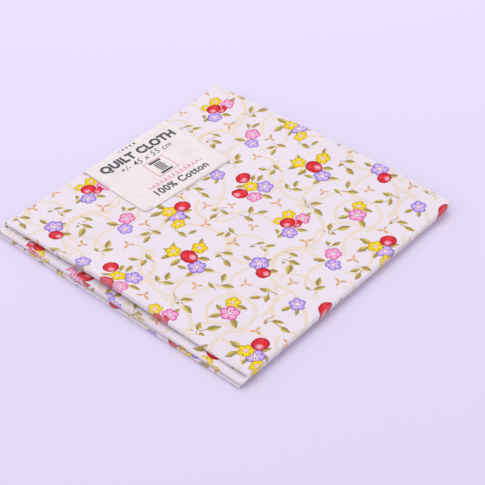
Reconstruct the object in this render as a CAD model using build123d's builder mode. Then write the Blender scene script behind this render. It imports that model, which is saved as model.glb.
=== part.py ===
import os
from math import radians, sqrt, tan

from build123d import *

# A fat quarter: one sheet of quilting cotton, folded flat, with a card label over its back edge.
# The sheet is folded lengthwise into a strip, and the strip is folded in thirds like a Z, so the
# middle third lies upside down. Each third is an outer ply, a tucked half ply and an inner ply:
# a fold at the left joins the outer ply to the inner one, and a fold at the right joins it to the
# tucked one. The folds across the strip are the hinge lines that the thirds open about.
# X runs along the label's lines of text, Y points at the labelled edge, Z is up. The origin is
# the middle of the footprint, on the surface that the pack lies on.

# The sheet, in millimetres
cut_width = 450
cut_length = 550
ply_thickness = 0.5

# The folded pack
strip_width = 178
tuck_width = cut_width - 2 * strip_width - 4
third_length = cut_length / 3
upper_shift = 3.0
middle_shift = -2.0
lower_shift = -3.0
lower_gap = 0.3
cut_end_setback = 1.5
inner_ply_setback = 1.0

# The card label, folded over the back end of the upper third
label_width = 69.5
label_left = -24.6
label_front_leaf = 58.7
label_back_leaf = 30
label_skew = 3.6
label_thickness = 0.3
label_clearance = 0.15
label_corner = 3.0

# Heights and places that follow from them
third_thickness = 3 * ply_thickness
label_gap = label_thickness + 2 * label_clearance
half_length = third_length / 2
lower_bottom = 0
middle_bottom = lower_bottom + third_thickness + lower_gap
upper_bottom = middle_bottom + third_thickness + label_gap
upper_top = upper_bottom + third_thickness
back_fold_radius = (middle_bottom + third_thickness) / 2
front_fold_radius = (upper_top - middle_bottom) / 2
back_fold_height = back_fold_radius
front_fold_height = middle_bottom + front_fold_radius
label_inner_radius = third_thickness / 2 + label_clearance
label_outer_radius = label_inner_radius + label_thickness
label_bend_y = half_length - label_outer_radius
label_bend_z = upper_bottom + third_thickness / 2

os.makedirs("parts", exist_ok=True)


def fold_inset(bottom, fold_height, fold_radius):
    """How far short of a fold's tip a ply ends, so that the stacked ends follow a half round."""
    reach = max(abs(bottom - fold_height), abs(bottom + ply_thickness - fold_height))
    return fold_radius - sqrt(max(fold_radius**2 - reach**2, 0))


def upper_ends(bottom):
    front = -half_length + fold_inset(bottom, front_fold_height, front_fold_radius)
    return front, label_bend_y


def middle_ends(bottom):
    front = -half_length + fold_inset(bottom, front_fold_height, front_fold_radius)
    back = half_length - fold_inset(bottom, back_fold_height, back_fold_radius)
    return front, back


def lower_ends(bottom):
    back = half_length - fold_inset(bottom, back_fold_height, back_fold_radius)
    return -half_length + cut_end_setback, back


def save(piece, name):
    piece.part.label = name
    export_step(piece.part, f"parts/{name}.step")


def make_outer_ply(name, left, right, third_bottom, ply_bottom, ends):
    """The full ply on one face of a third, with the round fold at the left."""
    front, back = ends
    with BuildPart() as outer_ply:
        with BuildSketch(Plane.XZ.offset(-back)):
            with Locations((left + third_thickness / 2, third_bottom + third_thickness / 2)):
                Circle(third_thickness / 2)
                Circle(ply_thickness / 2, mode=Mode.SUBTRACT)
                Rectangle(
                    third_thickness,
                    third_thickness,
                    align=(Align.MIN, Align.CENTER),
                    mode=Mode.SUBTRACT,
                )
            with Locations((left + third_thickness / 2, ply_bottom)):
                Rectangle(
                    right - left - third_thickness / 2 - ply_thickness,
                    ply_thickness,
                    align=(Align.MIN, Align.MIN),
                )
        extrude(amount=back - front)
    save(outer_ply, name)


def make_tuck_ply(name, right, ply_bottom, outer_is_top, ends):
    """The half ply inside a third, with the round fold at the right."""
    front, back = ends
    joint_height = ply_bottom + (ply_thickness if outer_is_top else 0)
    with BuildPart() as tuck_ply:
        with BuildSketch(Plane.XZ.offset(-back)):
            with Locations((right - ply_thickness, joint_height)):
                Circle(ply_thickness)
                Rectangle(
                    ply_thickness,
                    2 * ply_thickness,
                    align=(Align.MAX, Align.CENTER),
                    mode=Mode.SUBTRACT,
                )
            with Locations((right - ply_thickness, ply_bottom)):
                Rectangle(tuck_width, ply_thickness, align=(Align.MAX, Align.MIN))
        extrude(amount=back - front)
    save(tuck_ply, name)


def make_inner_ply(name, left, right, ply_bottom, ends):
    """The full ply on the other face of a third, whose right side is the sheet's cut edge."""
    front, back = ends
    with BuildPart() as inner_ply:
        with BuildSketch(Plane.XZ.offset(-back)):
            with Locations((left + third_thickness / 2, ply_bottom)):
                Rectangle(
                    right - left - third_thickness / 2 - inner_ply_setback,
                    ply_thickness,
                    align=(Align.MIN, Align.MIN),
                )
        extrude(amount=back - front)
    save(inner_ply, name)


def make_third(third, shift, bottom, outer_is_top, ends):
    """The three plies of one third of the strip."""
    left = shift - strip_width / 2
    right = shift + strip_width / 2
    top_ply = bottom + 2 * ply_thickness
    tuck_bottom = bottom + ply_thickness
    outer_bottom = top_ply if outer_is_top else bottom
    inner_bottom = bottom if outer_is_top else top_ply
    outer_name = f"{third}_outer_ply"
    make_outer_ply(outer_name, left, right, bottom, outer_bottom, ends(outer_bottom))
    make_tuck_ply(f"{third}_tuck_ply", right, tuck_bottom, outer_is_top, ends(tuck_bottom))
    make_inner_ply(f"{third}_inner_ply", left, right, inner_bottom, ends(inner_bottom))


make_third("upper", upper_shift, upper_bottom, True, upper_ends)
make_third("middle", middle_shift, middle_bottom, False, middle_ends)
make_third("lower", lower_shift, lower_bottom, True, lower_ends)


# The card label: a front leaf on the pack, a half-round bend over the back end of the upper
# third, and a shorter back leaf under it. The card lies a little askew, so its sides lean.
def leaf_outline(leaf_length, skew):
    """The four corners of a leaf that runs from the bend towards the front of the pack."""
    lean = leaf_length * tan(radians(skew))
    left_rise = label_width * tan(radians(max(skew, 0)))
    right_rise = label_width * tan(radians(max(-skew, 0)))
    near = label_bend_y - leaf_length
    return (
        (label_left, label_bend_y),
        (label_left + label_width, label_bend_y),
        (label_left + label_width - lean, near + right_rise),
        (label_left - lean, near + left_rise),
    )


with BuildPart() as label_card:
    for leaf_length, skew, leaf_bottom in (
        (label_front_leaf, label_skew, label_bend_z + label_inner_radius),
        (label_back_leaf, -label_skew, label_bend_z - label_outer_radius),
    ):
        with BuildSketch(Plane.XY.offset(leaf_bottom)) as leaf:
            with BuildLine():
                Polyline(*leaf_outline(leaf_length, skew), close=True)
            make_face()
            fillet(leaf.vertices().sort_by(Axis.Y)[:2], label_corner)
        extrude(amount=label_thickness)
    with BuildSketch(Plane.YZ.offset(label_left)):
        with Locations((label_bend_y, label_bend_z)):
            Circle(label_outer_radius)
            Circle(label_inner_radius, mode=Mode.SUBTRACT)
            Rectangle(
                2 * label_outer_radius,
                2 * label_outer_radius,
                align=(Align.MAX, Align.CENTER),
                mode=Mode.SUBTRACT,
            )
    extrude(amount=label_width)
save(label_card, "label_card")
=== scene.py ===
# Folded quilting cotton with a card label: the visual model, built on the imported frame.
# Lengths in the dictionaries are millimetres; "mm" turns them into metres where meshes are placed.
import math
import random

import bmesh
import bpy
from mathutils import Euler, Matrix, Vector, noise


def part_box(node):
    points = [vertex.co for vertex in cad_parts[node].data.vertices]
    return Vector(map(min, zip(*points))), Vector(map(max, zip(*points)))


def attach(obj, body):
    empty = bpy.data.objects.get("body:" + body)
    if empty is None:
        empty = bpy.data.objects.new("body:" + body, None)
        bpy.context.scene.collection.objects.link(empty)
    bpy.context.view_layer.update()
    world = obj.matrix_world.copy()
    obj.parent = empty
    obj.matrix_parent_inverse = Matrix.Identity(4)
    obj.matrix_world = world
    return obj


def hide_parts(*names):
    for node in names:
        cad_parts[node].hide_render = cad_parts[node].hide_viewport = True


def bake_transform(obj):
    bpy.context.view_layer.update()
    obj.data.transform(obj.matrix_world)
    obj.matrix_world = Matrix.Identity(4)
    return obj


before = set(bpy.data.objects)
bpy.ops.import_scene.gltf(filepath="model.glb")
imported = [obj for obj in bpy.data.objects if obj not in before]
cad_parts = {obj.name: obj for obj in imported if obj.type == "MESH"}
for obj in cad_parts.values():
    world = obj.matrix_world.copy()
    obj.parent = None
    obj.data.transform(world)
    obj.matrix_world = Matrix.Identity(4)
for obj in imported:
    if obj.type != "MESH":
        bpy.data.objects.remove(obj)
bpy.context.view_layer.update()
mm = 0.001
print("frame loaded,", len(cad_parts), "nodes")


# Small helpers
def smooth(low, high, value):
    t = min(max((value - low) / (high - low), 0), 1)
    return t * t * (3 - 2 * t)


def mix(a, b, t):
    return a + (b - a) * t


def colour(red, green, blue):  # display values 0 to 255, as linear colour
    def linear(c):
        c /= 255
        return c / 12.92 if c <= 0.04045 else ((c + 0.055) / 1.055) ** 2.4

    return (linear(red), linear(green), linear(blue), 1)


def addObject(name, mesh):
    piece = bpy.data.objects.new(name, mesh)
    bpy.context.scene.collection.objects.link(piece)
    return piece


def meshFrom(name, bm, smoothShade=True):
    mesh = bpy.data.meshes.new(name)
    for face in bm.faces:
        face.smooth = smoothShade
    bm.to_mesh(mesh)
    bm.free()
    return addObject(name, mesh)


# Camera, floor and light
studio = {
    "cameraAt": (-0.42037, -0.38506, 0.47573),
    "cameraTurn": (49.265, 0.617, -48.956),
    "lens": 96.81,
    "floorColour": colour(227, 219, 240),
    "skyColour": colour(249, 246, 255),
    "skyStrength": 0.8,
    "floorHalf": 4,
    "panels": (  # name, place, size, power
        ("keyPanel", (0.75, 0.55, 1.25), 1.1, 8.2),
        ("fillPanel", (-0.9, 0.5, 1.0), 1.2, 2.0),
    ),
}

cameraData = bpy.data.cameras.new("studioCamera")
cameraData.lens = studio["lens"]
cameraData.sensor_width = 36
cameraData.clip_start = 0.01
studioCamera = addObject("studioCamera", cameraData)
studioCamera.location = studio["cameraAt"]
studioCamera.rotation_euler = Euler([math.radians(a) for a in studio["cameraTurn"]])
bpy.context.scene.camera = studioCamera
bpy.context.scene.view_settings.view_transform = "Standard"

floorShape = bmesh.new()
bmesh.ops.create_grid(floorShape, x_segments=1, y_segments=1, size=studio["floorHalf"])
floor = meshFrom("studioFloor", floorShape)

world = bpy.data.worlds.new("studioWorld")
bpy.context.scene.world = world
world.use_nodes = True
sky = world.node_tree.nodes["Background"]
sky.inputs["Color"].default_value = studio["skyColour"]
sky.inputs["Strength"].default_value = studio["skyStrength"]

for lampName, place, size, power in studio["panels"]:
    lampData = bpy.data.lights.new(lampName, "AREA")
    lampData.size = size
    lampData.energy = power
    lamp = addObject(lampName, lampData)
    lamp.location = place
    lamp.rotation_euler = (-Vector(place)).to_track_quat("-Z", "Y").to_euler()
print("camera, floor and light in place")


# Node helpers
class Nodes:  # short ways to add nodes to one tree
    def __init__(self, tree):
        self.tree = tree

    def add(self, kind, **settings):
        node = self.tree.nodes.new(kind)
        for key, value in settings.items():
            setattr(node, key, value)
        return node

    def put(self, socket, value):
        if isinstance(value, bpy.types.NodeSocket):
            self.tree.links.new(value, socket)
        else:
            socket.default_value = value

    def math(self, operation, *values):
        node = self.add("ShaderNodeMath", operation=operation)
        for socket, value in zip(node.inputs, values):
            self.put(socket, value)
        return node.outputs[0]

    def vector(self, operation, *values):
        node = self.add("ShaderNodeVectorMath", operation=operation)
        for socket, value in zip(node.inputs, values):
            self.put(socket, value)
        single = operation in ("LENGTH", "DISTANCE", "DOT_PRODUCT")
        return node.outputs["Value" if single else "Vector"]

    def ramp(self, value, low, high, toLow=0.0, toHigh=1.0):
        node = self.add("ShaderNodeMapRange", interpolation_type="SMOOTHSTEP")
        for socket, number in zip(node.inputs, (value, low, high, toLow, toHigh)):
            self.put(socket, number)
        return node.outputs["Result"]

    def blend(self, factor, first, second, kind="MIX"):
        node = self.add("ShaderNodeMix", data_type="RGBA", blend_type=kind)
        for socket, value in ((0, factor), (6, first), (7, second)):
            self.put(node.inputs[socket], value)
        return node.outputs[2]

    def pick(self, factor, first, second):
        node = self.add("ShaderNodeMix", data_type="VECTOR")
        for socket, value in ((0, factor), (4, first), (5, second)):
            self.put(node.inputs[socket], value)
        return node.outputs[1]

    def split(self, vector):
        node = self.add("ShaderNodeSeparateXYZ")
        self.put(node.inputs[0], vector)
        return node.outputs

    def join(self, x, y):
        node = self.add("ShaderNodeCombineXYZ")
        self.put(node.inputs[0], x)
        self.put(node.inputs[1], y)
        return node.outputs[0]

    def turn(self, point, degrees):
        node = self.add("ShaderNodeVectorRotate", rotation_type="Z_AXIS")
        self.put(node.inputs["Vector"], point)
        node.inputs["Angle"].default_value = math.radians(degrees)
        return node.outputs[0]

    def noise(self, vector, scale, detail, output="Fac"):
        node = self.add("ShaderNodeTexNoise")
        for key, value in (("Vector", vector), ("Scale", scale), ("Detail", detail)):
            self.put(node.inputs[key], value)
        return node.outputs[output]

    def waver(self, point, place, scale, detail, reach):  # point, moved a little and unevenly
        aside = self.vector("SUBTRACT", self.noise(place, scale, detail, "Color"), (0.5,) * 3)
        return self.vector("ADD", point, self.vector("MULTIPLY", aside, (reach, reach, 0.0)))

    def objectPoint(self):  # the place on the piece, in millimetres
        return self.vector("MULTIPLY", self.add("ShaderNodeTexCoord").outputs["Object"],
                           (1000.0,) * 3)

    def group(self, tree, **values):
        node = self.add("ShaderNodeGroup", node_tree=tree)
        for key, value in values.items():
            self.put(node.inputs[key], value)
        return node.outputs


def newGroup(name, inputs, outputs):
    tree = bpy.data.node_groups.new(name, "ShaderNodeTree")
    for label, kind in inputs:
        tree.interface.new_socket(label, in_out="INPUT", socket_type=kind)
    for label, kind in outputs:
        tree.interface.new_socket(label, in_out="OUTPUT", socket_type=kind)
    made = Nodes(tree)
    return tree, made, made.add("NodeGroupInput").outputs, made.add("NodeGroupOutput").inputs


vectorKind, valueKind, colourKind = "NodeSocketVector", "NodeSocketFloat", "NodeSocketColor"

# The print is a half-drop repeat. Motifs are placed on the top face of the pack, in mm from its
# middle, and one repeat tile holds them all.
repeat = {
    "side": 106.7,
    "origin": (-21.18, 27.78),
    "slope": 0.018,
    "turnStep": 15,
    "waver": (0.45, 0.9),  # how fine and how far the drawn lines waver
    "vineGap": 0.5,  # half the space between the two lines of a vine
    "vineEdge": (0.27, 0.12),
    "vineInk": 0.9,
    "farAway": 9.0,  # a place that no motif reaches
    "vineColour": colour(238, 208, 60),
    "groundColour": colour(249, 239, 243),
    "groundTint": colour(239, 229, 238),
}

# middle x, middle y, angle, half length, half width
lilacFlowers = [
    (-21.5, 20.5, 10, 5.5, 5.2), (-46, -17, 40, 5.6, 5.3), (-22, -41, 5, 5.8, 5.5),
    (-48.4, 35.2, 60, 4.8, 4.6), (31, 0, 25, 5.7, 5.3), (8.5, -37, 15, 5.0, 4.8),
    (-33.5, -77, 50, 5.1, 4.7),
]
pinkFlowers = [
    (-41.3, 41, 20, 5.3, 5.0), (-61.5, -54.5, 35, 5.8, 5.6), (20, -1.5, 0, 5.0, 4.4),
    (22.8, -35, 50, 5.0, 4.6),
]
yellowFlowers = [
    (-21.5, 27, 18, 4.9, 4.7), (-26, 15.5, 0, 4.8, 4.0), (-45, 1.5, 40, 5.2, 4.6),
    (-33.5, -7.5, 10, 5.0, 4.8), (-54.5, -50.5, 30, 4.7, 4.5), (26, 6.5, 55, 4.9, 4.7),
    (12.5, -26, 0, 3.6, 3.3), (20.5, -26.5, 25, 4.5, 4.2),
]
redBuds = [
    (-13, 24.5, -20, 5.2, 4.7), (-42.5, -8, 80, 6.0, 4.9), (-26.5, -47.5, 60, 4.4, 4.3),
    (29, 15, 20, 5.4, 4.4), (17, 7, -60, 5.2, 4.6), (17.2, -35.4, 15, 3.8, 2.9),
    (14.5, -30.8, -10, 5.1, 4.3),
]
# middle x, middle y, direction of the tip, length
leaves = [
    (-21.5, 34, 92, 6.5), (-28, 31, 165, 6.5), (-27.5, 22.5, 200, 4.5), (-19, 16.5, -80, 5.5),
    (-14.5, 20, -25, 6), (-51, -5.5, 175, 6.5), (-51.5, -11, 110, 5), (-52.5, -18, 185, 5.5),
    (-44, -23.5, -65, 5.5), (-38.5, -15.5, -55, 6), (-28.7, -4.5, 35, 4.5), (-50.5, 1.5, 165, 6),
    (-46, 5, 100, 4.5), (-41, 5, 50, 4), (-23, -33, 95, 5), (-17.3, -43, -15, 4),
    (-22.3, -50.3, -40, 6), (-50.3, 43.5, 125, 6), (-36.3, 47.2, 70, 6), (-33.5, 44.7, -20, 5),
    (-68, -49.8, 150, 6), (-62, -47.5, 80, 5), (-65.5, -61, -120, 6.5), (-54.3, -56.5, -75, 5.5),
    (35.5, 7.5, 20, 5.5), (25, -7, -75, 6), (33, 10.5, 25, 5), (22, 11.5, 130, 4.5),
    (5, -32, 75, 5), (3.2, -34.5, 195, 4.5), (14.7, -41, -60, 5.5), (27.6, -35.2, -5, 4.5),
    (-40, -74.5, 160, 5), (-38.5, -80.5, 205, 4.5),
    (-12.5, -29, 165, 5), (-9, -30.5, -25, 4.5), (-11.5, -35, -110, 4.5), (-7, -36.2, -30, 5),
    (-15, -56, -158, 7), (-11, -50.5, 175, 5.5), (-9.5, -55, -80, 6), (-4.5, -50.7, -75, 5),
    (-71.8, 33.3, 95, 4.5), (-64, 32.8, 22, 6), (-67.5, 29.6, -25, 5.5),
    (-44, 23.5, 150, 5.5), (-47.3, 19.8, 190, 5.5), (-39, 19.8, -70, 5.5),
    (-63.7, 13.9, 115, 5), (-62.2, 7.4, 195, 5), (-57.2, 8.9, 80, 5),
    (-31.2, 7.5, -95, 5.5), (-26, 4.5, -12, 4.5),
    (1.8, 32.5, 185, 5), (4.8, 27.8, -65, 5.5), (2.8, 21.5, -95, 5.5),
    (-8.5, 5, 175, 5.5), (-2.5, 7.7, 150, 5.5), (-1.5, 2.5, -85, 5),
    (23.5, -55, -70, 5), (27, -51, 35, 5.5), (31.3, -57.8, -35, 7),
    (-66.7, -7.6, 55, 5), (-61.7, -10.1, 28, 5.5), (-65.7, -14.1, -65, 5.5),
    (-72.7, -27.1, 235, 5.5), (-68.7, -30.6, -50, 6), (-73.7, -36.1, -105, 6.5),
    (-51.7, -32.6, 70, 4.5), (-42.7, -33.6, 32, 5.5), (-46.7, -40.1, -62, 6),
    (-31, -19.6, 182, 5), (-27, -22.5, -65, 5.5), (-33.3, -27.5, -112, 6),
    (-17.5, -8.5, 165, 4.5), (-15, -12, 198, 5), (-11, -11, 75, 5),
    (-44, -56.7, 135, 5.5), (-36, -57.5, 105, 6.5), (-40.5, -62, -150, 5.5),
    (3, -12, -85, 6), (9.8, -7.4, 35, 5.5), (12.5, -14, -30, 5.5),
]
# middle x, middle y, angle, half size
orangeSprigs = [
    (-43, 58.5, 100, 4.6), (-73.5, 43.5, 60, 4.0), (-18, -19, 30, 4.4), (-1, -18.3, 95, 3.8),
    (24.3, -15, 10, 4.4), (-37.8, 29.8, 35, 4.2), (-57, 24.5, 80, 4.0), (-7, 32, 20, 3.8),
    (-3.5, 14.5, 75, 3.8), (-16, 3.7, 50, 4.0), (-57.3, -26.8, 70, 3.8), (-39, -46, 40, 3.8),
    (6, 3.5, 110, 3.6),
]
# middle x, middle y, direction of the arc's middle, radius, half opening in degrees
vines = [
    (46, -56.5, 20, 13, 150), (-52, -40, -53, 29, 45), (-10, -58, 80, 13, 110),
    (-28, -68, 0, 13.5, 70), (-37, -54, 90, 17, 60), (-14, -29, 180, 14, 80),
    (-42, -5, 0, 25, 60), (-18, -28, 0, 12, 85), (-10, -18, 25, 20, 60),
    (47, -43, 90, 22, 60), (33, 14, -60, 20, 75), (-8, 45, -45, 36, 40),
    (-62, -44, 0, 14, 80), (-7, -84, 90, 18, 55), (-62, 46, 110, 18, 90),
    (10, -32, -45, 22, 70), (28, -80, 70, 16, 80), (20, 22, 150, 17, 80),
    (0, 8, 200, 13, 95), (-58, -15, 200, 16, 80), (-30, 42, 60, 17, 80),
    (52, -5, 160, 15, 90), (14, -72, -60, 15, 85),
]


def tileCopies(x, y, reach):
    # Where a motif shows in the repeat tile, with the copies that cross the tile's sides
    dx, dy = x - repeat["origin"][0], y - repeat["origin"][1]
    px, py = dx - repeat["slope"] * dy, dy + repeat["slope"] * dx
    side = repeat["side"]
    row = math.floor(py / side)
    px, py = (px - row * side / 2) % side, py - row * side
    found = []
    for up in (-1, 0, 1):
        for across in (-2, -1, 0, 1, 2):
            cx, cy = px + across * side + up * side / 2, py + up * side
            if -reach < cx < side + reach and -reach < cy < side + reach:
                found.append((cx, cy))
    return found


def turnSteps(angle):  # motifs are turned by whole steps, so that they share a few turned points
    turned = angle + math.degrees(math.atan(repeat["slope"]))
    return round(turned / repeat["turnStep"]) % round(360 / repeat["turnStep"])


def ownPlace(nodes, turnedPoints, cx, cy, steps, halfLength, halfWidth):
    # A motif's own coordinates: 0 at its middle, 1 at its edge
    angle = math.radians(steps * repeat["turnStep"])
    backX = cx * math.cos(angle) + cy * math.sin(angle)
    backY = cy * math.cos(angle) - cx * math.sin(angle)
    return nodes.vector("MULTIPLY_ADD", turnedPoints[steps], (1 / halfLength, 1 / halfWidth, 0),
                        (-backX / halfLength, -backY / halfWidth, 0))


def pickNearest(nodes, turnedPoints, motifs):
    # The place within the motif that covers each point, or far away where none does
    place = nodes.join(repeat["farAway"], repeat["farAway"])
    for x, y, angle, halfLength, halfWidth in motifs:
        for cx, cy in tileCopies(x, y, max(halfLength, halfWidth)):
            local = ownPlace(nodes, turnedPoints, cx, cy, turnSteps(angle), halfLength, halfWidth)
            inside = nodes.math("LESS_THAN", nodes.vector("LENGTH", local), 1.0)
            place = nodes.pick(inside, place, local)
    return place


# A five-petalled flower, its sizes as shares of its reach
flower = {
    "petals": 5,
    "streaks": 25,
    "notch": 0.66,
    "petalDepth": 0.27,
    "jag": 0.09,
    "heart": 0.32,
    "dotRing": 0.25,
    "outline": 0.92,
}
flowerGroup, n, given, out = newGroup(
    "fivePetals",
    [("Place", vectorKind), ("Petal", colourKind), ("Light", colourKind), ("Line", colourKind),
     ("Centre", colourKind), ("Dots", colourKind)],
    [("Colour", colourKind), ("Mask", valueKind)],
)
x, y, _ = n.split(given["Place"])
reach = n.vector("LENGTH", given["Place"])
turn = n.math("ARCTAN2", y, x)
lobe = n.math("ABSOLUTE", n.math("COSINE", n.math("MULTIPLY", turn, flower["petals"] / 2)))
streak = n.math("ABSOLUTE", n.math("SINE", n.math("MULTIPLY", turn, flower["streaks"] / 2)))
edge = n.math("MULTIPLY_ADD", n.math("POWER", lobe, 0.5), flower["petalDepth"], flower["notch"])
edge = n.math("MULTIPLY_ADD", streak, flower["jag"], edge)
share = n.math("DIVIDE", reach, edge)
shade = n.blend(n.ramp(share, 0.3, 0.95), given["Light"], given["Petal"])
shade = n.blend(n.math("MULTIPLY", streak, 0.35), shade, given["Light"])
gap = n.math("MULTIPLY", n.ramp(lobe, 0.34, 0.08), n.ramp(reach, 0.25, 0.42))
rim = n.ramp(share, 0.8, 0.95)
outline = n.math("MULTIPLY", n.math("MAXIMUM", gap, rim), flower["outline"])
shade = n.blend(outline, shade, given["Line"])
heart = n.ramp(reach, flower["heart"] + 0.04, flower["heart"] - 0.04)
shade = n.blend(heart, shade, given["Centre"])
ring = n.ramp(n.math("ABSOLUTE", n.math("SUBTRACT", reach, flower["dotRing"])), 0.12, 0.06)
dotWave = n.math("COSINE", n.math("MULTIPLY", turn, flower["petals"]))
dots = n.math("MULTIPLY", ring, n.ramp(dotWave, 0.1, 0.6))
shade = n.blend(n.math("MULTIPLY", dots, 0.95), shade, given["Dots"])
n.put(out["Colour"], shade)
n.put(out["Mask"], n.ramp(share, 1.02, 0.96))


# The whole print
printGroup, n, given, out = newGroup(
    "floralPrint", [("Point", vectorKind)], [("Colour", colourKind), ("Ink", valueKind)]
)
side = repeat["side"]
x, y, _ = n.split(n.vector("SUBTRACT", given["Point"], (*repeat["origin"], 0.0)))
px = n.math("MULTIPLY_ADD", y, -repeat["slope"], x)
py = n.math("MULTIPLY_ADD", x, repeat["slope"], y)
row = n.math("FLOOR", n.math("DIVIDE", py, side))
cellX = n.math("FLOORED_MODULO", n.math("MULTIPLY_ADD", row, -side / 2, px), side)
cellY = n.math("MULTIPLY_ADD", row, -side, py)
cell = n.join(cellX, cellY)
waverScale, waverReach = repeat["waver"]
point = n.waver(cell, given["Point"], waverScale, 1.0, waverReach)
patchy = n.noise(given["Point"], 0.16, 1.0)
turnedPoints = [n.turn(point, -repeat["turnStep"] * i) for i in range(360 // repeat["turnStep"])]

# the scrolling double vine
vineAway = repeat["farAway"]
for vx, vy, direction, radius, opening in vines:
    for cx, cy in tileCopies(vx, vy, radius):
        local = ownPlace(n, turnedPoints, cx, cy, turnSteps(direction), radius, radius)
        away = n.math("MULTIPLY_ADD", n.vector("LENGTH", local), radius, -radius)
        ahead = n.vector("DOT_PRODUCT", local, (1.0, 0.0, 0.0))
        behind = n.math("LESS_THAN", ahead, math.cos(math.radians(opening)))
        away = n.math("MULTIPLY_ADD", behind, repeat["farAway"], n.math("ABSOLUTE", away))
        vineAway = n.math("SMOOTH_MIN", vineAway, away, 0.5)
vineLine = n.math("ABSOLUTE", n.math("SUBTRACT", vineAway, repeat["vineGap"]))
vineInk = n.math("MULTIPLY", n.ramp(vineLine, *repeat["vineEdge"]), repeat["vineInk"])
printed = n.blend(vineInk, repeat["groundColour"], repeat["vineColour"])
ink = vineInk

# small three-stroke sprigs
sprig = {
    "strokeWidth": (0.06, 0.2),
    "tones": (colour(236, 166, 84), colour(208, 158, 44)),
    "tip": colour(186, 118, 36),
    "ink": 0.9,
}
place = pickNearest(
    n, turnedPoints, [(sx, sy, angle, size, size) for sx, sy, angle, size in orangeSprigs])
x, y, _ = n.split(place)
reach = n.vector("LENGTH", place)
ray = n.math("PINGPONG", n.math("ARCTAN2", y, x), math.radians(60))
width = n.math("MULTIPLY", n.math("SINE", n.math("MULTIPLY", reach, math.pi)),
               sprig["strokeWidth"][1])
aside = n.math("MULTIPLY", reach, n.math("SINE", ray))
stroke = n.math("LESS_THAN", aside, n.math("MAXIMUM", width, sprig["strokeWidth"][0]))
sprigMask = n.math("MULTIPLY", stroke, n.math("LESS_THAN", reach, 0.98))
sprigColour = n.blend(n.ramp(patchy, 0.42, 0.58), *sprig["tones"])
sprigColour = n.blend(n.ramp(reach, 0.6, 0.95, 0.0, 0.5), sprigColour, sprig["tip"])
sprigInk = n.math("MULTIPLY", sprigMask, sprig["ink"])
printed = n.blend(sprigInk, printed, sprigColour)
ink = n.math("MAXIMUM", ink, sprigInk)

# leaves with a stalk behind each; the motif's place is set back to take in the stalk
leaf = {
    "half": 0.62,  # half the blade, as a share of the length
    "stalkShare": 0.4,
    "halfWidth": 0.6,
    "bulge": 0.47,
    "tones": (colour(214, 200, 44), colour(200, 166, 20)),
    "darkHalf": colour(140, 122, 4),
    "vein": colour(112, 96, 14),
    "tip": colour(156, 116, 16),
    "ink": 0.95,
}
stalkShare = leaf["stalkShare"]
leafSpots = []
for lx, ly, angle, length in leaves:
    back = math.radians(angle)
    half = leaf["half"] * length
    leafSpots.append((lx - stalkShare * half * math.cos(back),
                      ly - stalkShare * half * math.sin(back), angle, (1 + stalkShare) * half,
                      leaf["halfWidth"] * half))
place = pickNearest(n, turnedPoints, leafSpots)
x, y, _ = n.split(place)
along = n.math("MULTIPLY_ADD", x, 1 + stalkShare, -stalkShare)
aside = n.math("MULTIPLY", y, leaf["halfWidth"])
apart = n.math("ABSOLUTE", aside)
bulge = n.math("SUBTRACT", 1.0, n.math("MULTIPLY", along, along))
bulge = n.math("MULTIPLY", bulge, leaf["bulge"])
bulge = n.math("MULTIPLY", bulge, n.math("MULTIPLY_ADD", along, -0.18, 1.0))
leafBody = n.ramp(n.math("SUBTRACT", apart, bulge), 0.02, -0.04)
stalk = n.math("MULTIPLY", n.math("LESS_THAN", apart, 0.07), n.math("LESS_THAN", along, -0.85))
near = n.math("LESS_THAN", n.vector("LENGTH", place), 1.5)
leafMask = n.math("MULTIPLY", n.math("MAXIMUM", leafBody, stalk), near)
leafColour = n.blend(n.ramp(patchy, 0.4, 0.6), *leaf["tones"])
leafColour = n.blend(n.math("MULTIPLY", n.math("GREATER_THAN", aside, 0.0), 0.75), leafColour,
                     leaf["darkHalf"])
vein = n.math("MULTIPLY", n.ramp(apart, 0.08, 0.02), 0.75)
leafColour = n.blend(vein, leafColour, leaf["vein"])
leafColour = n.blend(n.ramp(along, 0.35, 0.95, 0.0, 0.5), leafColour, leaf["tip"])
leafInk = n.math("MULTIPLY", leafMask, leaf["ink"])
printed = n.blend(leafInk, printed, leafColour)
ink = n.math("MAXIMUM", ink, leafInk)

# the flowers, from the lowest to the highest: petal, light, line, centre and dots
flowerKinds = (
    (lilacFlowers, (180, 142, 238), (226, 206, 252), (112, 72, 186), (252, 232, 242),
     (150, 20, 62)),
    (yellowFlowers, (246, 210, 0), (255, 232, 30), (190, 138, 0), (240, 222, 226), (232, 150, 10)),
    (pinkFlowers, (248, 122, 194), (255, 198, 228), (200, 40, 122), (254, 224, 238), (170, 14, 54)),
)
for motifs, petal, light, line, centre, dots in flowerKinds:
    place = pickNearest(n, turnedPoints, motifs)
    petals = n.group(flowerGroup, Place=place, Petal=colour(*petal), Light=colour(*light),
                     Line=colour(*line), Centre=colour(*centre), Dots=colour(*dots))
    printed = n.blend(petals["Mask"], printed, petals["Colour"])
    ink = n.math("MAXIMUM", ink, petals["Mask"])

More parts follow.
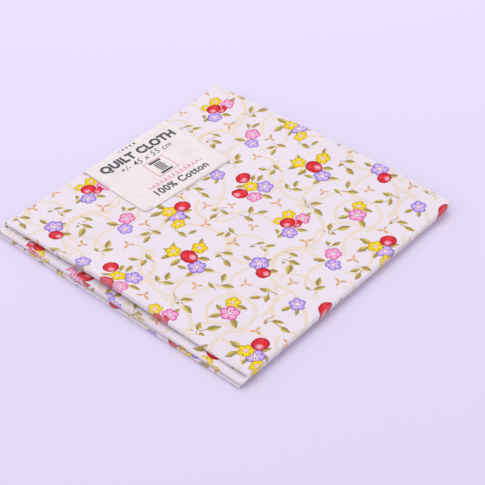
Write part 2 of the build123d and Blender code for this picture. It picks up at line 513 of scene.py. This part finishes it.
# red buds with a pale highlight
bud = {
    "red": colour(230, 36, 54),
    "deepRed": colour(176, 14, 34),
    "blush": colour(252, 96, 80),
    "blushAt": (0.35, 0.4, 0.0),
    "highlight": colour(255, 196, 216),
    "highlightAt": (-0.28, -0.3, 0.0),
}
place = pickNearest(n, turnedPoints, redBuds)
reach = n.vector("LENGTH", place)
lit = n.ramp(n.vector("DISTANCE", place, bud["highlightAt"]), 0.55, 0.05)
budColour = n.blend(n.ramp(reach, 0.55, 1.0), bud["red"], bud["deepRed"])
blush = n.ramp(n.vector("DISTANCE", place, bud["blushAt"]), 0.5, 0.1, 0.0, 0.35)
budColour = n.blend(blush, budColour, bud["blush"])
budColour = n.blend(n.math("MULTIPLY", lit, 0.85), budColour, bud["highlight"])
budMask = n.ramp(reach, 0.99, 0.93)
printed = n.blend(budMask, printed, budColour)
ink = n.math("MAXIMUM", ink, budMask)
n.put(out["Colour"], printed)
n.put(out["Ink"], ink)
print("print drawn with", len(printGroup.nodes), "nodes")


# Weave and fibres
weaveGroup, n, given, out = newGroup(
    "plainWeave",
    [("Point", vectorKind), ("Pitch", valueKind)],
    [("Height", valueKind)],
)
x, y, _ = n.split(n.waver(given["Point"], given["Point"], 0.7, 3.0, 0.5))  # uneven yarns
step = n.math("DIVIDE", math.pi, given["Pitch"])
warp = n.math("SINE", n.math("MULTIPLY", x, step))
weft = n.math("SINE", n.math("MULTIPLY", y, step))
over = n.math("GREATER_THAN", n.math("MULTIPLY", warp, weft), 0.0)
warpRound = n.math("ABSOLUTE", warp)
weftRound = n.math("ABSOLUTE", weft)
topYarn = n.math("ADD", n.math("MULTIPLY", over, warpRound),
                 n.math("MULTIPLY", n.math("SUBTRACT", 1.0, over), weftRound))
n.put(out["Height"], topYarn)

grainGroup, n, given, out = newGroup(
    "paperGrain",
    [("Point", vectorKind), ("Scale", valueKind)],
    [("Height", valueKind), ("Cloud", valueKind)],
)
n.put(out["Height"], n.noise(given["Point"], given["Scale"], 4.0))
n.put(out["Cloud"], n.noise(given["Point"], 0.09, 3.0))


# Materials
def newMaterial(name, **settings):
    material = bpy.data.materials.new(name)
    material.use_nodes = True
    shader = material.node_tree.nodes["Principled BSDF"]
    for key, value in settings.items():
        shader.inputs[key.replace("_", " ")].default_value = value
    return material, Nodes(material.node_tree), shader


def addBump(nodes, shader, height, strength, distance):
    bump = nodes.add("ShaderNodeBump")
    bump.inputs["Strength"].default_value = strength
    bump.inputs["Distance"].default_value = distance
    nodes.put(bump.inputs["Height"], height)
    nodes.put(shader.inputs["Normal"], bump.outputs["Normal"])


cottonFinish = {
    "pitch": 0.42,  # mm from yarn to yarn
    "rough": 0.82,
    "sheen": 0.06,
    "specular": 0.12,
    "showThrough": 0.32,  # how much of the print shows on the wrong side
    "weaveShade": 0.9,
    "slubShade": 0.94,
    "wornInk": 0.12,
    "wornColour": colour(214, 206, 226),
    "bump": (0.6, 0.00007),
}


def cottonMaterial(name, printStrength):
    material, n, shader = newMaterial(
        name, Sheen_Weight=cottonFinish["sheen"], Sheen_Roughness=0.6,
        Specular_IOR_Level=cottonFinish["specular"]
    )
    point = n.add("ShaderNodeUVMap", uv_map="cloth").outputs["UV"]
    pattern = n.group(printGroup, Point=point)
    weave = n.group(weaveGroup, Point=point, Pitch=cottonFinish["pitch"])
    wear = n.add("ShaderNodeAttribute", attribute_name="foldWear").outputs["Fac"]
    cloud = n.noise(point, 0.035, 3.0)
    slub = n.noise(n.vector("MULTIPLY", point, (0.25, 3.0, 1.0)), 1.2, 2.0)
    ground = n.blend(cloud, repeat["groundColour"], repeat["groundTint"])
    fade = n.math("MULTIPLY_ADD", wear, -cottonFinish["wornInk"] * printStrength, printStrength)
    base = n.blend(n.math("MULTIPLY", pattern["Ink"], fade), ground, pattern["Colour"])
    weaveShade = n.ramp(weave["Height"], 0.0, 0.9, cottonFinish["weaveShade"], 1.0)
    slubShade = n.ramp(slub, 0.3, 0.7, cottonFinish["slubShade"], 1.0)
    base = n.blend(1.0, base, weaveShade, "MULTIPLY")
    base = n.blend(1.0, base, slubShade, "MULTIPLY")
    base = n.blend(n.math("MULTIPLY", wear, 0.08), base, cottonFinish["wornColour"])
    n.put(shader.inputs["Base Color"], base)
    rough = n.math("MULTIPLY_ADD", pattern["Ink"], -0.06, cottonFinish["rough"])
    n.put(shader.inputs["Roughness"], n.math("MULTIPLY_ADD", slub, 0.1, rough))
    fuzz = n.noise(point, 6.0, 3.0)
    height = n.math("MULTIPLY_ADD", fuzz, 0.5, weave["Height"])
    addBump(n, shader, height, *cottonFinish["bump"])
    return material


printedCotton = cottonMaterial("printedCotton", 1.0)
cottonWrongSide = cottonMaterial("cottonWrongSide", cottonFinish["showThrough"])

yarnMaterial, n, shader = newMaterial("looseYarn", Roughness=0.9, Sheen_Weight=0.3)
point = n.objectPoint()
twist = n.noise(point, 2.5, 3.0)
n.put(shader.inputs["Base Color"], n.blend(twist, colour(216, 210, 226), colour(248, 244, 250)))
addBump(n, shader, twist, 0.5, 0.00005)

paperFinish = {"colour": colour(241, 233, 229), "shade": colour(230, 221, 220), "grain": 1.6}
creaseLine = {"y": 86.93, "slope": 0.0586}  # a crease across the card, short of its bend
cardMaterial, n, shader = newMaterial("labelCard", Specular_IOR_Level=0.3)
point = n.objectPoint()
grain = n.group(grainGroup, Point=point, Scale=paperFinish["grain"])
base = n.blend(grain["Cloud"], paperFinish["colour"], paperFinish["shade"])
under = n.group(printGroup, Point=point)  # the print shows faintly through the thin card
base = n.blend(n.math("MULTIPLY", under["Ink"], 0.07), base, under["Colour"])
x, y, height = n.split(point)
# a darker, yellowish line is painted along the crease on the card's face: painted shade in the
# crease
creaseAway = n.math("MULTIPLY_ADD", x, creaseLine["slope"], y)
creaseAway = n.math("ABSOLUTE", n.math("SUBTRACT", creaseAway, creaseLine["y"]))
crease = n.math("MULTIPLY", n.ramp(creaseAway, 0.55, 0.1), n.math("GREATER_THAN", height, 4.5))
base = n.blend(n.math("MULTIPLY", crease, 0.4), base, colour(206, 196, 176))
n.put(shader.inputs["Base Color"], base)
n.put(shader.inputs["Roughness"], n.math("MULTIPLY_ADD", grain["Height"], 0.2, 0.5))
addBump(n, shader, grain["Height"], 0.35, 0.00004)


def inkMaterial(name, main, thin):
    material, n, shader = newMaterial(name, Specular_IOR_Level=0.35)
    point = n.objectPoint()
    grain = n.group(grainGroup, Point=point, Scale=2.4)
    n.put(shader.inputs["Base Color"], n.blend(n.ramp(grain["Height"], 0.45, 0.75), main, thin))
    n.put(shader.inputs["Roughness"], n.math("MULTIPLY_ADD", grain["Height"], 0.2, 0.42))
    addBump(n, shader, grain["Height"], 0.2, 0.00003)
    return material


darkInk = inkMaterial("darkInk", colour(62, 60, 68), colour(96, 92, 100))
pinkInk = inkMaterial("pinkInk", colour(212, 98, 132), colour(228, 150, 172))

floorMaterial, n, shader = newMaterial("paleFloor", Roughness=0.75, Specular_IOR_Level=0.1)
point = n.add("ShaderNodeTexCoord").outputs["Object"]
tone = n.noise(point, 1.2, 1.0)
n.put(shader.inputs["Base Color"],
      n.blend(n.math("MULTIPLY", tone, 0.1), studio["floorColour"], colour(221, 210, 238)))
floor.data.materials.append(floorMaterial)
print("materials made")

# Where the cloth lies
cloth = {
    "sheetThickness": 0.3,
    "flatStep": 3.0,
    "topStep": 1.6,
    "foldStep": 2.0,
    "foldReach": 6.0,
    "foldBandTrim": 0.1,
    "arcParts": 10,
    "sideWear": 4,  # how far from a side fold the cloth shows wear
    "foldFade": (-84, -72),  # ridges fade out here, short of the front fold
    "ridges": {  # height, middle across, spread across, middle along, spread along
        "left": (4.2, -86, 12, 5, 48),
        "backLeft": (1.2, -86, 10, 70, 22),
        "middle": (1.7, -91, 9, 5, 45),
    },
    "rightRidge": (3.3, 92, 15),
    "middleRidgeLow": 0.3,
    "dents": 0.28,
    "underLabel": 0.4,
    "pressed": 0.4,
    "frontSag": 0.35,
    "cutEndRipple": 0.22,
}


def millimetreBox(node):
    low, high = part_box(node)
    return low / mm, high / mm


levels = {}
for third in ("upper", "middle", "lower"):
    outerLow, outerHigh = millimetreBox(f"{third}_outer_ply")
    tuckLow, tuckHigh = millimetreBox(f"{third}_tuck_ply")
    innerLow, innerHigh = millimetreBox(f"{third}_inner_ply")
    levels[third] = {
        "shift": (outerLow.x + tuckHigh.x) / 2,
        "bottom": outerLow.z,
        "top": outerHigh.z,
        "front": min(outerLow.y, innerLow.y),
        "back": max(outerHigh.y, innerHigh.y),
        "innerRight": innerHigh.x,
        "tuckLeft": tuckLow.x,
    }
plyCount = 3
stack = levels["upper"]["top"] - levels["upper"]["bottom"]
plyLevel = stack / plyCount
halfStrip = (millimetreBox("upper_tuck_ply")[1].x - millimetreBox("upper_outer_ply")[0].x) / 2
leftRadius = stack / 2
rightRadius = plyLevel
leftTurn = -halfStrip + leftRadius  # where the cloth starts to turn at the left
rightTurn = halfStrip - rightRadius
labelHigh = millimetreBox("label_card")[1]

frontTip = levels["upper"]["front"]
backTip = levels["lower"]["back"]
frontFold = {
    "points": -1,  # the fold points towards -Y
    "innerIsOut": False,
    "other": "upper_third",
    "bandStart": levels["middle"]["top"] + cloth["foldBandTrim"],
    "bandEnd": levels["upper"]["bottom"] - cloth["foldBandTrim"],
    "radius": (levels["upper"]["top"] - levels["middle"]["bottom"]) / 2,
    "height": (levels["upper"]["top"] + levels["middle"]["bottom"]) / 2,
}
frontFold["y"] = frontTip + frontFold["radius"]
backFold = {
    "points": 1,  # towards +Y
    "innerIsOut": True,
    "other": "lower_third",
    "bandStart": levels["middle"]["bottom"],
    "bandEnd": levels["lower"]["top"],
    "radius": levels["middle"]["top"] / 2,
    "height": levels["middle"]["top"] / 2,
}
backFold["y"] = backTip - backFold["radius"]
upperEnd = levels["upper"]["back"]
lowerEnd = levels["lower"]["front"]


def acrossStrip(u):
    # Cloth width to place across the strip and depth below its printed face
    if u < leftTurn:
        turned = (leftTurn - u) / leftRadius
        if turned <= math.pi:
            return leftTurn - leftRadius * math.sin(turned), leftRadius * (1 - math.cos(turned))
        return leftTurn + (turned - math.pi) * leftRadius, stack
    if u > rightTurn:
        turned = (u - rightTurn) / rightRadius
        if turned <= math.pi:
            return rightTurn + rightRadius * math.sin(turned), rightRadius * (1 - math.cos(turned))
        return rightTurn - (turned - math.pi) * rightRadius, 2 * plyLevel
    return u, 0.0


def hump(value, middle, spread):
    return math.exp(-(((value - middle) / spread) ** 2))


def ridge(name, x, y):
    height, acrossMiddle, across, alongMiddle, along = cloth["ridges"][name]
    return height * hump(x, acrossMiddle, across) * hump(y, alongMiddle, along)


def lift(third, x, y, depth):
    # How far the cloth stands off its flat level: soft ridges along the sides, and dents
    share = depth / stack
    awayFromFold = smooth(*cloth["foldFade"], y)
    if third == "upper":
        alongRight = 0.35 + 0.65 * smooth(-85, -45, y) * (1 - 0.6 * smooth(62, 90, y))
        height, acrossMiddle, across = cloth["rightRidge"]
        right = height * alongRight * hump(x, acrossMiddle, across)
        left = ridge("left", x, y) + ridge("backLeft", x, y)
        free = 1 - smooth(14, 4, abs(x - 8) - 34) * smooth(20, 34, y)  # 0 under the label
        dent = cloth["dents"] * noise.noise(Vector((x / 42, y / 34, 1.7))) * (0.3 + 0.7 * free)
        dent += 0.5 * cloth["dents"] * noise.noise(Vector((x / 17, y / 60, 5.2))) * free
        dent -= 0.5 * cloth["dents"] * (1 - free)
        dent *= 1 - share * (1 - awayFromFold)
        under = cloth["underLabel"] * smooth(84, 90, y) * smooth(-31, -25, x) * smooth(51, 45, x)
        pressed = cloth["pressed"] * smooth(-62, -80, x) * (1 - hump(y, 5, 55))
        frontSag = cloth["frontSag"] * smooth(-80, -91, y)
        frontSag *= noise.noise(Vector((x / 26, 0.4, 9.1)))
        raised = (right + left + dent) * (1 - 0.5 * share)
        return raised + (frontSag - under) * (1 - share) - pressed * awayFromFold
    if third == "middle":
        low = cloth["middleRidgeLow"] * hump(x, *cloth["ridges"]["middle"][1:3])
        return (low + ridge("middle", x, y)) * share * awayFromFold
    ripple = cloth["cutEndRipple"] * smooth(-78, -90, y)
    ripple *= noise.noise(Vector((x / 13, 2.2, 3.1)))
    return max(ripple, 0) * (1 - share)


def inFlat(third, u, y):
    x, depth = acrossStrip(u)
    x += levels[third]["shift"]
    up = third != "middle"
    z = levels[third]["top"] - depth if up else levels[third]["bottom"] + depth
    return Vector((x, y, z + lift(third, x, y, depth)))


def inFold(fold, upperThird, lowerThird, u, turned):
    # A point of a fold across the strip; turned runs from 0 at the upper third to pi
    x, depth = acrossStrip(u)
    radius = fold["radius"] - (stack - depth if fold["innerIsOut"] else depth)
    share = smooth(0, math.pi, turned)
    x += mix(levels[upperThird]["shift"], levels[lowerThird]["shift"], share)
    y = fold["y"] + fold["points"] * radius * math.sin(turned)
    z = fold["height"] + radius * math.cos(turned)
    raised = mix(lift(upperThird, x, fold["y"], depth), lift(lowerThird, x, fold["y"], depth),
                 share)
    return Vector((x, y, z + raised * (0.5 + 0.5 * math.cos(turned))))


# cloth width of each ply, from its left side to its right side in the cut sheet
leftArc = math.pi * leftRadius
rightArc = math.pi * rightRadius
plySpans = {
    "outer": (leftTurn - leftArc, rightTurn),
    "tuck": (rightTurn, rightTurn + rightArc + halfStrip - rightRadius
             - (levels["upper"]["tuckLeft"] - levels["upper"]["shift"])),
    "inner": (leftTurn - leftArc - (levels["upper"]["innerRight"] - levels["upper"]["shift"]
                                    - leftTurn), leftTurn - leftArc),
}
plyDepths = {"outer": 0.0, "tuck": 2 * plyLevel, "inner": stack}


def stations(start, stop, step, turns=()):
    # Places from start to stop, a step apart, and close together where the cloth turns
    found = [start]
    inTurn = [(low, high) for low, high in turns if start <= low + 1e-6 and high <= stop + 1e-6]
    cursor = start
    for low, high in sorted(inTurn):
        count = max(round((low - cursor) / step), 1) if low - cursor > 1e-6 else 0
        found += [mix(cursor, low, (i + 1) / count) for i in range(count)]
        parts = cloth["arcParts"]
        found += [mix(low, high, (i + 1) / parts) for i in range(parts)]
        cursor = high
    if stop - cursor > 1e-6:
        count = max(round((stop - cursor) / step), 1)
        found += [mix(cursor, stop, (i + 1) / count) for i in range(count)]
    return found


def laySheet(name, across, rows, place):
    # A sheet of cloth as a grid, each row being (cloth length, what place needs, wear)
    bm = bmesh.new()
    uvs = bm.loops.layers.uv.new("cloth")
    columnCount, rowCount = len(across) - 1, len(rows) - 1
    bmesh.ops.create_grid(bm, x_segments=columnCount, y_segments=rowCount, size=1)
    worn = bm.verts.layers.float.new("foldWear")
    spots = {}
    for vert in bm.verts:
        i = round((vert.co.x + 1) / 2 * columnCount)
        j = round((vert.co.y + 1) / 2 * rowCount)
        spots[vert.index] = (across[i], rows[j][0])
        u = across[i]
        sideWear = smooth(cloth["sideWear"], 0, abs(abs(u) - halfStrip))
        vert[worn] = max(sideWear, rows[j][2])
        vert.co = place(u, rows[j][1]) * mm
    for face in bm.faces:
        for loop in face.loops:
            loop[uvs].uv = spots[loop.vert.index]
    sheet = meshFrom(name, bm)
    sheet.data.materials.append(printedCotton)
    sheet.data.materials.append(cottonWrongSide)
    thick = sheet.modifiers.new("clothThickness", "SOLIDIFY")
    thick.thickness = cloth["sheetThickness"] * mm
    thick.offset = -1
    thick.material_offset = 1
    thick.material_offset_rim = 1
    crisp = sheet.modifiers.new("crispRims", "EDGE_SPLIT")  # rims don't bend the flat's shading
    crisp.split_angle = math.radians(50)
    return sheet


def layFold(name, fold, radius, above, below, toCloth, across):
    # The strip that goes round a fold across the pack, from the third below to the third above
    def besideFold(third, distances):
        places = [fold["y"] - fold["points"] * distance for distance in distances]
        return [(toCloth[third](y), (third, y), 0.0) for y in places]

    away = stations(0, foldReach, foldStep)
    rows = besideFold(below, away[::-1])
    parts = cloth["arcParts"]
    for i in range(1, parts):
        turned = math.pi * (1 - i / parts)
        rows.append((toCloth[above](fold["y"]) - turned * radius, ("turn", turned),
                     math.sin(turned)))
    rows += besideFold(above, away)

    def place(u, spot):
        if spot[0] == "turn":
            return inFold(fold, above, below, u, spot[1])
        return inFlat(spot[0], u, spot[1])

    sheet = laySheet(name, across, rows, place)
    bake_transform(sheet)
    width = across[-1] - across[0]
    sheets[name] = (sheet, (width, 2 * foldReach + math.pi * radius))


turnsAcross = [(leftTurn - leftArc, leftTurn), (rightTurn, rightTurn + rightArc)]
foldReach, foldStep = cloth["foldReach"], cloth["foldStep"]
bodies = {"upper": "upper_third", "middle": "middle_third", "lower": "lower_third"}
sheets = {}
for ply, (start, stop) in plySpans.items():
    depth = plyDepths[ply]
    frontRadius = frontFold["radius"] - depth
    backRadius = backFold["radius"] - (stack - depth)
    frontArc, backArc = math.pi * frontRadius, math.pi * backRadius
    frontY, backY = frontFold["y"], backFold["y"]
    isTop = ply == "outer"
    sheetStep = cloth["topStep"] if isTop else cloth["flatStep"]
    topAcross = stations(start, stop, sheetStep, turnsAcross)
    lowAcross = stations(start, stop, cloth["flatStep"], turnsAcross)

    # the grid's rows run along the cut's length, which falls from the upper third to the lower
    def rowsBetween(low, high, step, toCloth, reverse=False):
        found = [(toCloth(y), y, 0.0) for y in stations(low, high, step)]
        return found[::-1] if reverse else found

    def upperCloth(y):
        return y

    def middleCloth(y):
        return 2 * frontY - frontArc - y

    def lowerCloth(y):
        return middleCloth(backY) - backArc - (backY - y)

    flats = (
        ("upper", rowsBetween(frontY + foldReach, upperEnd, sheetStep, upperCloth), topAcross),
        ("middle", rowsBetween(frontY + foldReach, backY - foldReach, cloth["flatStep"],
                               middleCloth, True), lowAcross),
        ("lower", rowsBetween(lowerEnd, backY - foldReach, cloth["flatStep"], lowerCloth),
         lowAcross),
    )
    for third, rows, across in flats:
        def place(u, y, third=third):
            return inFlat(third, u, y)

        name = f"{third}_{ply}_cloth"
        sheet = laySheet(name, across, rows, place)
        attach(sheet, bodies[third])
        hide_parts(f"{third}_{ply}_ply")
        length = abs(rows[-1][0] - rows[0][0])
        sheets[name] = (sheet, (stop - start, length))

    toCloth = {"upper": upperCloth, "middle": middleCloth, "lower": lowerCloth}
    layFold(f"front_{ply}_fold", frontFold, frontRadius, "upper", "middle", toCloth, topAcross)
    layFold(f"back_{ply}_fold", backFold, backRadius, "middle", "lower", toCloth, lowAcross)
print("cloth laid in", len(sheets), "sheets")

# The card label
card = {
    "thickness": 0.2,
    "frontLeft": (-28.3, 36.14),
    "frontRight": (41.2, 31.77),
    "backLeft": (-22.7, 60.47),
    "backRight": (46.8, 64.84),
    "bendLeft": -24.6,
    "bendRight": 44.9,
    "cornerRound": 3.0,
    "faceLevel": 5.62,
    "backLevel": 3.6,
    "spineDrop": 0.5,
    "cornerLift": 0.06,
    "cuts": (3.9, 0.85, 5),  # spacing on the front leaf, at the crease and on the back leaf
    "bendBack": 1.2,  # from the bend's start to the back of the CAD label
}
bendY = labelHigh.y - card["bendBack"]
arcTop = card["faceLevel"] - card["spineDrop"]
arcRadius = (arcTop - card["backLevel"]) / 2
arcLength = math.pi * arcRadius


def onCard(x, t):
    # The flat card's place, t being measured from the bend, as a place on the folded one
    if t <= 0:
        creaseT = creaseLine["y"] - creaseLine["slope"] * x - bendY
        drop = card["spineDrop"] * smooth(0, 1, (t - creaseT) / max(-creaseT, 0.5))
        z = card["faceLevel"] - drop
        (leftX, leftY), (rightX, rightY) = card["frontLeft"], card["frontRight"]
        frontEdge = mix(leftY, rightY, (x - leftX) / (rightX - leftX)) - bendY
        forward = smooth(7, 0, t - frontEdge)
        corner = max(smooth(-16, -28.3, x), smooth(30, 41.5, x))
        return Vector((x, bendY + t, z + card["cornerLift"] * forward * corner))
    if t < arcLength:
        turned = t / arcRadius
        return Vector((x, bendY + arcRadius * math.sin(turned),
                       arcTop - arcRadius + arcRadius * math.cos(turned)))
    return Vector((x, bendY - (t - arcLength), card["backLevel"]))


bm = bmesh.new()
outline = [
    (card["frontLeft"][0], card["frontLeft"][1] - bendY),
    (card["frontRight"][0], card["frontRight"][1] - bendY),
    (card["bendRight"], 0),
    (card["bendRight"], arcLength),
    (card["backRight"][0], arcLength + bendY - card["backRight"][1]),
    (card["backLeft"][0], arcLength + bendY - card["backLeft"][1]),
    (card["bendLeft"], arcLength),
    (card["bendLeft"], 0),
]
corners = [bm.verts.new((x, t, 0)) for x, t in outline]
bm.faces.new(corners)
bmesh.ops.bevel(bm, geom=[corners[i] for i in (0, 1, 4, 5)], affect="VERTICES",
                offset=card["cornerRound"], segments=5, profile=0.5, material=-1)
leafStep, creaseStep, backStep = card["cuts"]
cutsAlong = [-58.7 + leafStep * i for i in range(1, 14)]
cutsAlong += [-5.9 + creaseStep * i for i in range(7)]
cutsAlong += [arcLength * i / 10 for i in range(11)]
cutsAlong += [arcLength + backStep * i for i in range(1, 6)]
for t in cutsAlong:
    bmesh.ops.bisect_plane(bm, geom=bm.verts[:] + bm.edges[:] + bm.faces[:], dist=1e-4,
                           plane_co=(0, t, 0), plane_no=(0, 1, 0))
for x in range(-26, 46, 3):
    bmesh.ops.bisect_plane(bm, geom=bm.verts[:] + bm.edges[:] + bm.faces[:], dist=1e-4,
                           plane_co=(x, 0, 0), plane_no=(1, 0, 0))
for vert in bm.verts:
    vert.co = onCard(vert.co.x, vert.co.y) * mm
bmesh.ops.recalc_face_normals(bm, faces=bm.faces)
labelSheet = meshFrom("folded_label", bm)
if max(labelSheet.data.polygons, key=lambda p: p.center.z).normal.z < 0:
    labelSheet.data.flip_normals()
labelSheet.data.materials.append(cardMaterial)
thick = labelSheet.modifiers.new("cardThickness", "SOLIDIFY")
thick.thickness = card["thickness"] * mm
thick.offset = 0
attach(labelSheet, "label")
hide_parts("label_card")

# Printing on the card
lettering = {
    "turn": -3.7,
    "lift": 0.012,
    "heading": ("QUILT CLOTH", (-18.5, 79.0), 57.5, 6.6),
    "size": ("+/- 45 x 55 cm", (-10.0, 71.6), 39.5, 4.6),
    "content": ("100% Cotton", (-12.0, 41.0), 40.5, 5.4),
}
inkLevel = card["faceLevel"] + card["thickness"] / 2 + lettering["lift"]
turnText = Matrix.Rotation(math.radians(lettering["turn"]), 4, "Z")


def layPrint(name, mesh, x, y, material):
    # Puts a mesh that was drawn flat in millimetres onto the card's front leaf
    place = Matrix.Translation((x, y, inkLevel)) @ turnText
    mesh.transform(Matrix.Diagonal((mm, mm, mm, 1)) @ place)
    piece = addObject(name, mesh)
    mesh.materials.clear()
    mesh.materials.append(material)
    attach(piece, "label")


def blockMesh(name, bm):
    mesh = bpy.data.meshes.new(name)
    bm.to_mesh(mesh)
    bm.free()
    return mesh


def roundSides(bm, block, offset, segments):
    # Rounds the short upright edges of a thin block
    upright = {e for v in block["verts"] for e in v.link_edges if e.calc_length() < 0.1}
    bmesh.ops.bevel(bm, geom=list(upright), affect="EDGES", offset=offset, segments=segments,
                    profile=0.5, material=-1)


def curveMesh(name, data):
    flat = addObject(name + "Draft", data)
    bpy.context.view_layer.update()
    mesh = bpy.data.meshes.new_from_object(flat.evaluated_get(
        bpy.context.evaluated_depsgraph_get()))
    mesh.name = name
    bpy.data.objects.remove(flat)
    return mesh


for name, key, weight, slant in (
    ("label_heading", "heading", 0.055, 0.0),
    ("label_size_line", "size", 0.004, 0.25),
    ("label_content_line", "content", 0.03, 0.0),
):
    words, (x, y), width, height = lettering[key]
    data = bpy.data.curves.new(name, "FONT")
    data.body = words
    data.size = 1
    data.offset = weight
    data.shear = slant
    data.extrude = 0.004
    data.space_character = 1.08
    mesh = curveMesh(name, data)
    xs = [v.co.x for v in mesh.vertices]
    ys = [v.co.y for v in mesh.vertices]
    mesh.transform(Matrix.Translation((-min(xs), 0, 0)))
    mesh.transform(Matrix.Diagonal((width / (max(xs) - min(xs)), height / max(ys), 2, 1)))
    layPrint(name, mesh, x, y, darkInk)

# a thin square round a plain thread spool
badge = {"at": (9.3, 60.0), "square": 15.0, "line": 0.4, "spool": 1.22}
bm = bmesh.new()
for i in range(4):
    place = (Matrix.Rotation(math.radians(90 * i), 4, "Z")
             @ Matrix.Translation((0, badge["square"] / 2, 0))
             @ Matrix.Diagonal((badge["square"] + badge["line"], badge["line"], 0.016, 1)))
    bmesh.ops.create_cube(bm, size=1, matrix=place)
layPrint("label_square", blockMesh("label_square", bm), *badge["at"], pinkInk)

bm = bmesh.new()
spool = [(0, 4.6, 7.2, 1.5), (0, -4.6, 7.2, 1.5)]  # two rims, then the rows of thread
spool += [(0, 2.8 - 1.12 * i, 5.2 - 0.28 * abs(2.5 - i), 0.7) for i in range(6)]
for x, y, width, height in spool:
    place = (Matrix.Scale(badge["spool"], 4) @ Matrix.Translation((x, y, 0))
             @ Matrix.Diagonal((width, height, 0.016, 1)))
    roundSides(bm, bmesh.ops.create_cube(bm, size=1, matrix=place), 0.28, 2)
layPrint("label_spool", blockMesh("label_spool", bm), *badge["at"], darkInk)

# a looping pink flourish, and short dark dashes on the spine
flourish = {"from": (-11.5, 49.5), "length": 40.5, "waves": 13, "height": 1.8, "line": 0.2}
data = bpy.data.curves.new("label_flourish", "CURVE")
data.dimensions = "3D"
data.bevel_depth = flourish["line"]
data.bevel_resolution = 2
data.resolution_u = 4
spline = data.splines.new("NURBS")
pointCount = flourish["waves"] * 6
spline.points.add(pointCount - 1)
for i, point in enumerate(spline.points):
    share = i / (pointCount - 1)
    angle = share * flourish["waves"] * 2 * math.pi
    swell = 0.45 + 0.55 * math.sin(math.pi * share) ** 0.6
    point.co = (share * flourish["length"] + 1.3 * math.cos(angle),
                flourish["height"] * swell * math.sin(angle), 0, 1)
spline.order_u = 4
spline.use_endpoint_u = True
mesh = curveMesh("label_flourish", data)
mesh.transform(Matrix.Diagonal((1, 1, 0.02, 1)))
layPrint("label_flourish", mesh, *flourish["from"], pinkInk)

spineDashes = [  # x, y, width, height
    (3.0, 88.9, 1.2, 1.0), (5.9, 88.7, 1.7, 1.3), (9.0, 88.6, 1.0, 2.3), (12.0, 88.4, 1.0, 2.4),
    (15.0, 88.2, 1.3, 2.4),
]
bm = bmesh.new()
for x, y, width, height in spineDashes:
    spot = onCard(x, y - bendY)
    tilt = math.atan2(onCard(x, y - bendY + 0.5).z - spot.z, 0.5)
    place = (Matrix.Translation((x, y, spot.z + card["thickness"] / 2 + 0.01))
             @ Matrix.Rotation(tilt, 4, "X") @ Matrix.Diagonal((width, height, 0.03, 1)))
    roundSides(bm, bmesh.ops.create_cube(bm, size=1, matrix=place), 0.35, 3)
for vert in bm.verts:
    vert.co *= mm
dashes = meshFrom("label_spine_dashes", bm, False)
dashes.data.materials.append(darkInk)
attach(dashes, "label")
print("label folded and printed")

# Frayed yarn ends
fray = {
    "yarn": 0.09,
    "seed": 7,
    "lowerCount": 46,
    "upperCount": 30,
    "cornerCount": 7,
    "lean": 35,
    "points": 5,
    "lowerHeights": (0.35, 0.85, 1.3),
    "upperHeights": (4.3, 4.9, 5.25),
}
random.seed(fray["seed"])


def frayedYarns(name, body, starts):
    # Loose yarn ends; each start is (x, y, z, direction, length)
    data = bpy.data.curves.new(name, "CURVE")
    data.dimensions = "3D"
    data.bevel_depth = fray["yarn"]
    data.bevel_resolution = 1
    data.resolution_u = 5
    for x, y, z, direction, length in starts:
        spline = data.splines.new("NURBS")
        spline.points.add(fray["points"] - 1)
        angle = math.radians(direction)
        swing = random.uniform(-0.5, 0.5)
        for i, point in enumerate(spline.points):
            share = i / (fray["points"] - 1)
            bent = angle + swing * share * 1.6
            droop = -0.35 * length * share * share + 0.25 * random.uniform(-1, 1) * share
            point.co = (x + length * share * math.cos(bent), y + length * share * math.sin(bent),
                        max(z + droop, 0.15), 1)
        spline.order_u = 3
        spline.use_endpoint_u = True
    mesh = curveMesh(name, data)
    mesh.transform(Matrix.Diagonal((mm, mm, mm, 1)))
    mesh.materials.clear()
    mesh.materials.append(yarnMaterial)
    yarns = addObject(name, mesh)
    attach(yarns, body)
    return yarns


lowerStarts = []
lean = fray["lean"]
for i in range(fray["lowerCount"]):
    x = mix(-88, 84, (i + random.uniform(0.1, 0.9)) / fray["lowerCount"])
    lowerStarts.append((x, lowerEnd + 0.3, random.choice(fray["lowerHeights"]),
                        -90 + random.uniform(-lean, lean), random.uniform(0.5, 1.7)))
upperStarts = []
for i in range(fray["upperCount"]):
    x = mix(-84, 90, (i + random.uniform(0.1, 0.9)) / fray["upperCount"])
    if not -31 < x < 50:  # none under the label
        height = random.choice(fray["upperHeights"]) + lift("upper", x, upperEnd, 0.6)
        upperStarts.append((x, upperEnd - 0.3, height, 90 + random.uniform(-lean, lean),
                            random.uniform(0.5, 1.6)))
cornerStarts = []
for i in range(fray["cornerCount"]):
    cornerStarts.append((84 - 0.32 * i, lowerEnd + 0.6 * i, 0.5, -20 + random.uniform(-30, 30),
                         random.uniform(2.0, 4.5)))
lowerYarns = frayedYarns("lower_frayed_yarns", "lower_third", lowerStarts + cornerStarts)
upperYarns = frayedYarns("upper_frayed_yarns", "upper_third", upperStarts)

# What each sheet was cut to
for name, (sheet, (width, length)) in sheets.items():
    key = name.split("_")[0]
